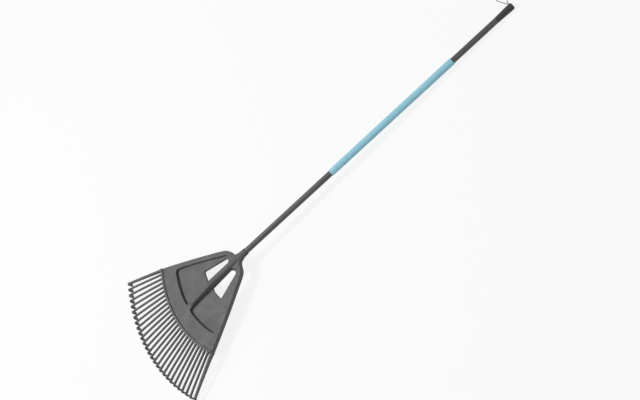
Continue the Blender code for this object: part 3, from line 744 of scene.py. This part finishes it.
def pocket_rings(rim, floor):
    """The pocket's cutter: its floor, and its walls drawn on to a little above the panel."""
    above = POCKET_OVERCUT
    lower = []
    upper = []
    for (rim_x, rim_y), (floor_x, floor_y) in zip(rim, floor):
        height = floor_height(floor_y)
        share = above / -height
        lower.append((floor_x, floor_y, height))
        upper.append((rim_x + (rim_x - floor_x) * share, rim_y + (rim_y - floor_y) * share, above))
    return [lower, upper]


def opening_outline():
    """The see-through opening on the +X side."""
    arc = arc_points(OPENING_RADIUS, *OPENING_ARC, 5)
    return round_corners([*OPENING_NEAR_CORNERS, *arc_corners(arc, OPENING_CORNER)], 5)


def rim_channel():
    """The hollow between the two walls of the +X rim."""
    outside = []
    inside = []
    for step in range(6):
        y = EDGE_START_Y + CHANNEL_STEP_Y * step
        outside.append(rim_line(y, WALL))
        inside.append(rim_line(y, RIM_WIDTH - WALL))
    return outside + inside[::-1]


# Tines

def distance_to_arc(angle, radius):
    """Distance from the tines' centre to an arc about the apex, in a tine's direction."""
    along = -TINE_CENTRE_Y * math.cos(angle)
    across = TINE_CENTRE_Y * math.sin(angle)
    return along + math.sqrt(radius * radius - across * across)


def fan_point(angle, radius, sideways):
    """A point on a tine's line, at a radius from the apex and moved sideways."""
    distance = distance_to_arc(angle, radius)
    x = distance * math.sin(angle) + sideways * math.cos(angle)
    y = TINE_CENTRE_Y + distance * math.cos(angle) - sideways * math.sin(angle)
    return x, y


def tine_angle(index):
    """Direction of a tine; the outermost two end flush with the fan's edges."""
    middle = (TINE_COUNT - 1) / 2.0
    tip_x, tip_y = edge_point(FAN_RADIUS)
    reach = math.atan2(tip_x, tip_y - TINE_CENTRE_Y)
    reach -= EDGE_TINE_WIDTH / 2.0 / math.hypot(tip_x, tip_y - TINE_CENTRE_Y)
    return reach * (index - middle) / middle


def tine_top(beyond):
    """Height of a tine's top at a distance beyond the panel's arc."""
    return TINE_TOP - TINE_DROOP * beyond - TINE_CURVE * beyond * beyond


def tine_side(angle, root_distance, tip_distance, root_depth, end_depth):
    """Side view of one tine: (distance from the tines' centre, height) points."""
    tip_outer = tip_distance - TIP_SETBACK
    at_apex = HOOK_TIP_Z - FLOOR_SLOPE * (FAN_RADIUS - TIP_SETBACK)
    tip_z = at_apex + FLOOR_SLOPE * (TINE_CENTRE_Y + tip_outer * math.cos(angle))

    def share_at(distance):
        return max(0.0, (distance - root_distance) / (tip_distance - root_distance))

    def top(distance):
        return tine_top(share_at(distance) * (FAN_RADIUS - PANEL_RADIUS))

    def depth(distance):
        return root_depth + (end_depth - root_depth) * share_at(distance)

    bend_start = tip_distance - BEND_RADIUS
    inner_start = tip_distance - HOOK_THICKNESS - HOOK_FILLET
    upper = []
    lower = []
    for step in range(TINE_STEPS + 1):
        share = step / TINE_STEPS
        distance = root_distance - WALL + share * (bend_start - root_distance + WALL)
        upper.append((distance, top(distance)))
        distance = root_distance - WALL + share * (inner_start - root_distance + WALL)
        lower.append((distance, top(distance) - depth(distance)))
    bend = []
    for step in range(1, BEND_STEPS + 1):
        turn = QUARTER_TURN * step / BEND_STEPS
        distance = bend_start + BEND_RADIUS * math.sin(turn)
        bend.append((distance, upper[-1][1] - BEND_RADIUS * (1.0 - math.cos(turn))))
    bend_end = bend[-1][1]
    ease_z = tip_z + TIP_EASE_HEIGHT
    fall = [
        (tip_distance, bend_end + (ease_z - bend_end) * step / HOOK_STEPS)
        for step in range(1, HOOK_STEPS)
    ]
    tip = [
        (tip_distance - TIP_EASE, ease_z),
        (tip_outer, tip_z),
        (tip_outer - TIP_THICKNESS, tip_z - FLOOR_SLOPE * math.cos(angle) * TIP_THICKNESS),
    ]
    under = lower[-1][1]
    inside = [
        (tip_distance - HOOK_THICKNESS + out, under - down) for out, down in HOOK_INSIDE
    ]
    return upper + bend + fall + tip + inside + lower[::-1]


def shape_width(tine, root_distance, tip_distance, bend_top, widening):
    """Spread a tine's root into the panel's wall and flare its hook towards the tip."""
    for vert in tine.verts:
        if vert.co.x > tip_distance - HOOK_REACH:
            drop = bend_top - vert.co.y - FLARE_START
            share = min(1.0, max(0.0, drop / FLARE_DROP))
            vert.co.z *= 1.0 + (widening - 1.0) * share
        elif vert.co.x < root_distance + ROOT_REACH:
            vert.co.z *= ROOT_WIDENING


def make_tine(index):
    """One tine with rounded edges, a root that spreads into the wall and a broad hook."""
    is_edge = index in (0, TINE_COUNT - 1)
    width = EDGE_TINE_WIDTH if is_edge else TINE_WIDTH
    angle = tine_angle(index)
    root = distance_to_arc(angle, PANEL_RADIUS)
    tip = distance_to_arc(angle, FAN_RADIUS)
    side = tine_side(
        angle, root, tip,
        EDGE_TINE_ROOT_DEPTH if is_edge else TINE_ROOT_DEPTH,
        EDGE_TINE_END_DEPTH if is_edge else TINE_END_DEPTH,
    )
    tine = plate(side, -width / 2.0, width / 2.0)
    rims = edges_at(tine, width / 2.0) + edges_at(tine, -width / 2.0)
    bend_top = tine_top(FAN_RADIUS - BEND_RADIUS - PANEL_RADIUS)
    tip_width = EDGE_TIP_WIDTH if is_edge else TIP_WIDTH
    shape_width(tine, root, tip, bend_top, tip_width / width)
    round_edges(tine, rims, TINE_ROUND, 3)
    stand = Matrix.Rotation(QUARTER_TURN, 4, "Z") @ Matrix.Rotation(QUARTER_TURN, 4, "X")
    swing = Matrix.Rotation(-angle, 4, "Z")
    tine.transform(Matrix.Translation((0.0, TINE_CENTRE_Y, 0.0)) @ swing @ stand)
    return tine


# Fan head

def make_panel():
    """The fan's panel with its pockets, openings and hollow underside."""
    panel = plate(panel_outline(), -PANEL_DEPTH, 0.0)
    rim = pocket_outline()
    opening = opening_outline()
    # list leaves an outline on the +X side as it is
    for on_side in (list, mirrored):
        pocket = lofted(pocket_rings(on_side(rim), on_side(pocket_floor(rim))))
        round_edges(pocket, edges_on_floor(pocket, 20.0), FLOOR_ROUND, 3)
        panel = cut(panel, pocket)
        under = on_side(offset_outline(rim, -RECESS_INSET))
        recess = lofted([
            [(x, y, CUT_LOW) for x, y in under],
            [(x, y, floor_height(y) - WALL) for x, y in under],
        ])
        rib = plate(on_side(offset_outline(opening, WALL)), CUT_LOW - CUT_SPARE, CUT_HIGH)
        panel = cut(panel, cut(recess, rib))
        panel = cut(panel, plate(on_side(opening), CUT_LOW, CUT_HIGH))
        panel = cut(panel, plate(on_side(rim_channel()), CUT_LOW, -TOP_SKIN))
    relief = rectangle(RELIEF_HALF_WIDTH, RELIEF_START, RELIEF_END)
    panel = cut(panel, plate(relief, CUT_LOW, RELIEF_TOP))
    panel = cut(panel, gather(make_band_cells()))
    round_edges(panel, edges_at(panel, 0.0), RIM_ROUND, 3)
    round_edges(panel, edges_on_floor(panel, 60.0), OPENING_ROUND, 2)
    return panel


def add_ridge(panel):
    """The ridge between the pockets: upright sides, a low round top, and a hollow below."""
    rings = []
    for y, height in RIDGE_STATIONS:
        low = floor_height(y) - RIDGE_SUNK
        ring = [(-RIDGE_HALF_WIDTH, y, low), (RIDGE_HALF_WIDTH, y, low)]
        for step in range(RIDGE_STEPS + 1):
            angle = math.pi * step / RIDGE_STEPS
            x = RIDGE_HALF_WIDTH * math.cos(angle)
            ring.append((x, y, RIDGE_SIDE + height * math.sin(angle)))
        rings.append(ring)
    hollow = rectangle(RIDGE_HOLLOW_HALF_WIDTH, RIDGE_HOLLOW_START, RIDGE_HOLLOW_END)
    return cut(join(panel, lofted(rings)), plate(hollow, CUT_LOW, RIDGE_HOLLOW_TOP))


def make_band_cells():
    """Cutters for the hollows under the outer band, one between each pair of tines."""
    inner = POCKET_RADIUS + WALL
    outer = PANEL_RADIUS - WALL
    cells = []
    for index in range(TINE_COUNT - 1):
        first = tine_angle(index)
        second = tine_angle(index + 1)
        side = BAND_END_WEB if index == 0 else BAND_WEB
        other = BAND_END_WEB if index == TINE_COUNT - 2 else BAND_WEB
        outline = [
            fan_point(first, inner, side), fan_point(second, inner, -other),
            fan_point(second, outer, -other), fan_point(first, outer, side),
        ]
        cells.append(plate(outline, CUT_LOW, -TOP_SKIN))
    return cells


def make_arc_lip():
    """The raised lip along the panel's outer arc."""
    corner_x, corner_y = edge_point(PANEL_RADIUS)
    reach = math.atan2(corner_x, corner_y) - LIP_END_GAP
    outline = arc_points(PANEL_RADIUS - LIP_WIDTH, -reach, reach, ARC_STEPS)
    outline += arc_points(PANEL_RADIUS - RIM_ROUND - LIP_SETBACK, reach, -reach, ARC_STEPS)
    lip = plate(outline, -LIP_SUNK, LIP_HEIGHT)
    round_edges(lip, edges_at(lip, LIP_HEIGHT), LIP_ROUND, 3)
    return lip


def make_socket():
    """The round socket on the handle's line, with a blunt nose and a slight swell."""
    nose = [(radius, SOCKET_END + along) for radius, along in SOCKET_NOSE]
    swell = [
        (SOCKET_RADIUS + SOCKET_SWELL, SOCKET_SWELL_ALONG), (SOCKET_RADIUS, SOCKET_TAPER_ALONG)
    ]
    lip = [(radius, SOCKET_MOUTH - along) for radius, along in SOCKET_LIP]
    socket = turned(nose + swell + lip, 48)
    socket.transform(HANDLE_IN_HEAD)
    return socket


def screw_drill(radius, top, sides):
    """A cutter on the screw's line, from a height on the handle downwards."""
    place = Matrix.Translation((0.0, -SCREW_ALONG, top - DRILL_LENGTH / 2.0))
    return rod(radius, DRILL_LENGTH, place, sides)


def make_fan_head(finish):
    """The head as one moulding, bored for the tube and drilled from below for the screw."""
    head = add_ridge(make_panel())
    head = join(head, gather([make_tine(index) for index in range(TINE_COUNT)]))
    head = join(head, make_arc_lip())
    head = join(head, make_socket())
    past_mouth = SOCKET_MOUTH + 0.02
    bore = turned([
        (0.0, TUBE_START - GAP), (TUBE_RADIUS + GAP, TUBE_START - GAP),
        (TUBE_RADIUS + GAP, past_mouth), (0.0, past_mouth),
    ], 48)
    hole = screw_drill(SCREW_RADIUS + GAP, -SCREW_POINT + 0.001, 24)
    seat = screw_drill(SCREW_HEAD_RADIUS + SEAT_GAP, -SOCKET_RADIUS + SEAT_DEPTH, 32)
    for cutter in (bore, hole, seat):
        cutter.transform(HANDLE_IN_HEAD)
        head = cut(head, cutter)
    head.transform(HEAD)
    add_piece("fan_head_moulding", head, finish, ["fan_head"])


# Handle

def make_tube(finish):
    """The hollow tube, with its outer edges broken at both ends."""
    edge = 0.0003
    tube = turned([
        (TUBE_BORE, TUBE_START), (TUBE_RADIUS - edge, TUBE_START),
        (TUBE_RADIUS, TUBE_START + edge), (TUBE_RADIUS, TUBE_END - edge),
        (TUBE_RADIUS - edge, TUBE_END), (TUBE_BORE, TUBE_END), (TUBE_BORE, TUBE_START),
    ])
    tube.transform(HANDLE)
    add_piece("coated_tube", tube, finish, ["handle_tube"])


def make_sleeve(finish):
    """The sleeve over the tube, with soft round ends."""
    inner = TUBE_RADIUS + GAP
    round_end = [
        (SLEEVE_RADIUS - 0.0011, 0.0), (SLEEVE_RADIUS - 0.0004, 0.0003),
        (SLEEVE_RADIUS - 0.0001, 0.0008), (SLEEVE_RADIUS, 0.0016),
    ]
    profile = [(inner, SLEEVE_START)]
    profile += [(radius, SLEEVE_START + along) for radius, along in round_end]
    profile += [(radius, SLEEVE_END - along) for radius, along in reversed(round_end)]
    profile += [(inner, SLEEVE_END), (inner, SLEEVE_START)]
    sleeve = turned(profile)
    sleeve.transform(HANDLE)
    add_piece("soft_sleeve", sleeve, finish, ["grip_sleeve"])


def make_cap(finish):
    """The end cap: a hollow spigot, a waist, a rounded end and a side hole for the cord."""
    cap = turned([
        (CAP_BORE, TUBE_END - CAP_SPIGOT), (TUBE_BORE - GAP, TUBE_END - CAP_SPIGOT),
        (TUBE_BORE - GAP, TUBE_END + GAP), (TUBE_RADIUS - 0.0002, TUBE_END + GAP),
        (TUBE_RADIUS, TUBE_END + 0.0005),
        *((radius, TUBE_END + along) for radius, along in CAP_WAIST),
        *((radius, CAP_END - along) for radius, along in CAP_NOSE),
        (0.0, CAP_END - CAP_ROOF), (CAP_BORE - 0.0010, CAP_END - CAP_ROOF),
        (CAP_BORE, CAP_END - CAP_ROOF - 0.0010), (CAP_BORE, TUBE_END - CAP_SPIGOT),
    ])
    through_wall = Matrix.Translation((CAP_WALL_MIDDLE, -CORD_HOLE_ALONG, 0.0))
    through_wall @= Matrix.Rotation(QUARTER_TURN, 4, "Y")
    cap = cut(cap, rod(CORD_HOLE_RADIUS, CAP_DRILL_LENGTH, through_wall, 32))
    cap.transform(HANDLE)
    add_piece("end_cap_moulding", cap, finish, ["end_cap"])


def make_screw(finish):
    """Pan head screw with a cross recess, its head towards the floor."""
    head_top = -(SOCKET_RADIUS + SOCKET_SWELL + GAP)
    head_bottom = head_top - SCREW_HEAD_HEIGHT
    profile = [
        (0.0, -SCREW_POINT), (SCREW_TIP_RADIUS, -SCREW_POINT),
        (SCREW_RADIUS, -SCREW_POINT - SCREW_TAPER),
        (SCREW_RADIUS, head_top), (SCREW_HEAD_RADIUS, head_top),
        (SCREW_HEAD_RADIUS, head_top - SCREW_HEAD_HEIGHT * 0.5),
        (SCREW_HEAD_RADIUS * 0.90, head_top - SCREW_HEAD_HEIGHT * 0.85),
        (SCREW_HEAD_RADIUS * 0.72, head_bottom), (0.0, head_bottom),
    ]
    screw = bmesh.new()
    verts = [screw.verts.new((radius, 0.0, height)) for radius, height in profile]
    edges = [screw.edges.new(pair) for pair in zip(verts, verts[1:])]
    screw = spun(screw, edges, (0.0, 0.0, 1.0), 32)
    for turn in (0.0, QUARTER_TURN):
        slot = bmesh.new()
        bmesh.ops.create_cube(slot, size=1.0)
        bmesh.ops.scale(slot, verts=slot.verts, vec=SCREW_SLOT)
        at_bottom = Matrix.Translation((0.0, 0.0, head_bottom))
        slot.transform(at_bottom @ Matrix.Rotation(turn, 4, "Z"))
        screw = cut(screw, slot)
    screw.transform(HANDLE @ Matrix.Translation((0.0, -SCREW_ALONG, 0.0)))
    add_piece("cross_screw", screw, finish, ["head_screw"])


# Hanging loop

def smooth_path(points, spacing):
    """Evenly spaced points along a smooth curve through the route points, and its length."""
    steps = 24
    route = [Vector(point) for point in points]
    padded = [2 * route[0] - route[1]] + route + [2 * route[-1] - route[-2]]
    dense = []
    for index in range(1, len(padded) - 2):
        a, b, c, d = padded[index - 1:index + 3]
        for step in range(steps):
            share = step / steps
            dense.append(
                0.5 * (2 * b + (c - a) * share + (2 * a - 5 * b + 4 * c - d) * share ** 2
                       + (3 * b - a - 3 * c + d) * share ** 3)
            )
    dense.append(route[-1])
    run = [0.0]
    for first, second in zip(dense, dense[1:]):
        run.append(run[-1] + (second - first).length)
    count = int(round(run[-1] / spacing)) + 1
    path = []
    index = 0
    for step in range(count):
        mark = run[-1] * step / (count - 1)
        while index < len(run) - 2 and run[index + 1] < mark:
            index += 1
        share = (mark - run[index]) / (run[index + 1] - run[index])
        path.append(dense[index].lerp(dense[index + 1], share))
    return path, run[-1]


def cord_route():
    """Route of the hanging loop: out of the cap's side hole, round on the floor and back."""
    hole = HANDLE @ Vector((0.0, -CORD_HOLE_ALONG, 0.0))
    low = CORD_RADIUS + 0.0001
    rise = CORD_STRAND_OFFSET * 0.92
    upper = hole.z + rise
    lower = hole.z - rise
    lean = CORD_STRAND_OFFSET * 0.40
    # (out of the cap's side, along the rake from the hole, height)
    relative = [
        (0.0050, -lean, upper),
        (0.0100, -lean, upper),
        (0.0150, -lean - 0.0003, upper - 0.0001),
        (0.0220, -lean - 0.0016, upper - 0.0018),
        (0.0310, -0.0050, upper - 0.0062),
        (0.0410, -0.0090, low + 0.0006),
        (0.0530, -0.0125, low),
        (0.0670, -0.0140, low),
        (0.0800, -0.0100, low),
        (0.0865, 0.0020, low),
        (0.0815, 0.0145, low),
        (0.0690, 0.0200, low),
        (0.0550, 0.0180, low),
        (0.0420, 0.0125, low),
        (0.0310, 0.0070, low + 0.0010),
        (0.0220, lean + 0.0024, lower - 0.0042),
        (0.0155, lean + 0.0005, lower - 0.0008),
        (0.0100, lean, lower),
        (0.0050, lean, lower),
    ]
    return [(x, hole.y + y, z) for x, y, z in relative]


def braided_tube(path, radius):
    """A round cord along a path, with the crossing strands of a braid raised on it."""
    up = Vector((0.0, 0.0, 1.0))
    run = 0.0
    rings = []
    for index, point in enumerate(path):
        if index:
            run += (point - path[index - 1]).length
        ahead = path[min(index + 1, len(path) - 1)] - path[max(index - 1, 0)]
        side = ahead.cross(up).normalized()
        lift = side.cross(ahead).normalized()
        wind = math.tau * run / BRAID_PITCH
        ring = []
        for step in range(CORD_SIDES):
            turn = math.tau * step / CORD_SIDES
            over = math.cos(BRAID_STRANDS * turn - wind)
            under = math.cos(BRAID_STRANDS * turn + wind)
            reach = radius * (BRAID_LOW + BRAID_RISE * max(over, under))
            offset = side * math.cos(turn) * reach + lift * math.sin(turn) * reach
            ring.append(point + offset)
        rings.append(ring)
    return lofted(rings)


def make_cord(finish):
    """The braided hanging loop, which goes with the knot in the cap."""
    route = cord_route()
    path, length = smooth_path(route, CORD_STEP)
    knot = make_knot(finish)
    cord = add_piece(
        "braided_loop", braided_tube(path, CORD_RADIUS), finish, ["loop_cord"]
    )
    line = smooth_path(route, CORD_LINE_STEP)[0]


def make_knot(finish):
    """The overhand knot inside the cap that keeps both ends of the loop in."""
    # Twice round the middle while it weaves over and under three times
    path = []
    for step in range(KNOT_STEPS):
        turn = math.tau * step / KNOT_STEPS
        wide = 2.0 + math.cos(3.0 * turn)
        path.append(Vector((
            wide * math.cos(2.0 * turn), wide * math.sin(2.0 * turn), 1.1 * math.sin(3.0 * turn)
        )) * KNOT_SIZE)
    knot = bmesh.new()
    loops = []
    for index, point in enumerate(path):
        ahead = (path[(index + 1) % KNOT_STEPS] - path[index - 1]).normalized()
        side = ahead.cross(Vector((0.0, 0.0, 1.0))).normalized()
        lift = side.cross(ahead)
        ring = []
        for step in range(KNOT_SIDES):
            turn = math.tau * step / KNOT_SIDES
            offset = (side * math.cos(turn) + lift * math.sin(turn)) * CORD_RADIUS * 0.9
            ring.append(point + offset)
        loops.append(closed_ring(knot, ring))
    for first, second in zip(loops, loops[1:] + loops[:1]):
        bmesh.ops.bridge_loops(knot, edges=first + second)
    knot.transform(HANDLE @ Matrix.Translation((0.0, -KNOT_ALONG, 0.0)))
    return add_piece("overhand_knot", knot, finish, ["cord_knot"])


# Stage

def make_stage():
    """Pale floor and world that show as white, and soft studio light."""
    floor = bpy.data.objects.new("studio_floor", bpy.data.meshes.new("studio_floor"))
    shape = bmesh.new()
    bmesh.ops.create_grid(shape, x_segments=1, y_segments=1, size=FLOOR_SIZE)
    bmesh.ops.translate(shape, verts=shape.verts, vec=(0.0, 0.0, -FLOOR_DROP))
    shape.to_mesh(floor.data)
    shape.free()
    bpy.context.scene.collection.objects.link(floor)
    pale, shader = new_finish("studio_white", 0.9, 0.1)
    shader.inputs["Base Color"].default_value = (FLOOR_SHADE, FLOOR_SHADE, FLOOR_SHADE, 1.0)
    glow = add_node(pale, "ShaderNodeEmission", {"Color": WHITE})
    share = multiply(pale, seen_directly(pale), FLOOR_GLOW)
    show_mixed(pale, share, shader, glow, "OUTPUT_MATERIAL")
    floor.data.materials.append(pale)

    world = bpy.data.worlds.new("studio_world")
    world.use_nodes = True
    bpy.context.scene.world = world
    sky = world.node_tree.nodes["Background"]
    sky.inputs["Color"].default_value = SKY_COLOR
    sky.inputs["Strength"].default_value = SKY_STRENGTH
    white = add_node(world, "ShaderNodeBackground", {"Color": WHITE})
    show_mixed(world, seen_directly(world), sky, white, "OUTPUT_WORLD")

    add_lamp("key_light", *KEY_LIGHT)
    add_lamp("fill_light", *FILL_LIGHT)


def seen_directly(finish):
    """1 for camera, glossy and transmission rays, else 0."""
    path = add_node(finish, "ShaderNodeLightPath")
    total = path.outputs["Is Camera Ray"]
    for name in ("Is Glossy Ray", "Is Transmission Ray"):
        total = add_node(
            finish, "ShaderNodeMath", {0: total, 1: path.outputs[name]},
            operation="ADD", use_clamp=True,
        ).outputs["Value"]
    return total


def show_mixed(finish, share, first, second, kind):
    """Send the mix of two shaders to the output node of a kind."""
    mix = add_node(
        finish, "ShaderNodeMixShader", {0: share, 1: first.outputs[0], 2: second.outputs[0]}
    )
    output = next(node for node in finish.node_tree.nodes if node.type == kind)
    connect(finish, mix.outputs[0], output, "Surface")


def add_lamp(name, place, size, power):
    """A round soft lamp aimed at the middle of the object."""
    lamp = bpy.data.lights.new(name, "AREA")
    lamp.shape = "DISK"
    lamp.size = size
    lamp.energy = power
    holder = bpy.data.objects.new(name, lamp)
    aim = LAMP_AIM - Vector(place)
    holder.location = place
    holder.rotation_mode = "QUATERNION"
    holder.rotation_quaternion = aim.to_track_quat("-Z", "Y")
    bpy.context.scene.collection.objects.link(holder)


def make_camera():
    """The camera, which stands at the photograph's viewing angle."""
    camera = bpy.data.cameras.new("photo_camera")
    camera.lens = CAMERA_LENS
    camera.sensor_width = CAMERA_SENSOR
    camera.clip_start = CAMERA_NEAR
    camera.clip_end = CAMERA_FAR
    holder = bpy.data.objects.new("photo_camera", camera)
    turn = Matrix((CAMERA_RIGHT, CAMERA_UP, CAMERA_BACK)).transposed().to_4x4()
    holder.matrix_world = Matrix.Translation(CAMERA_PLACE) @ turn
    bpy.context.scene.collection.objects.link(holder)
    bpy.context.scene.camera = holder


make_camera()
make_stage()
bpy.context.scene.view_settings.view_transform = "Standard"

moulded_grey = make_moulded_grey()
cord_grey = make_cord_grey()
make_cord(cord_grey)
make_fan_head(moulded_grey)
make_tube(make_tube_coat())
make_sleeve(make_sleeve_blue())
make_cap(make_cap_black())
make_screw(make_screw_zinc())
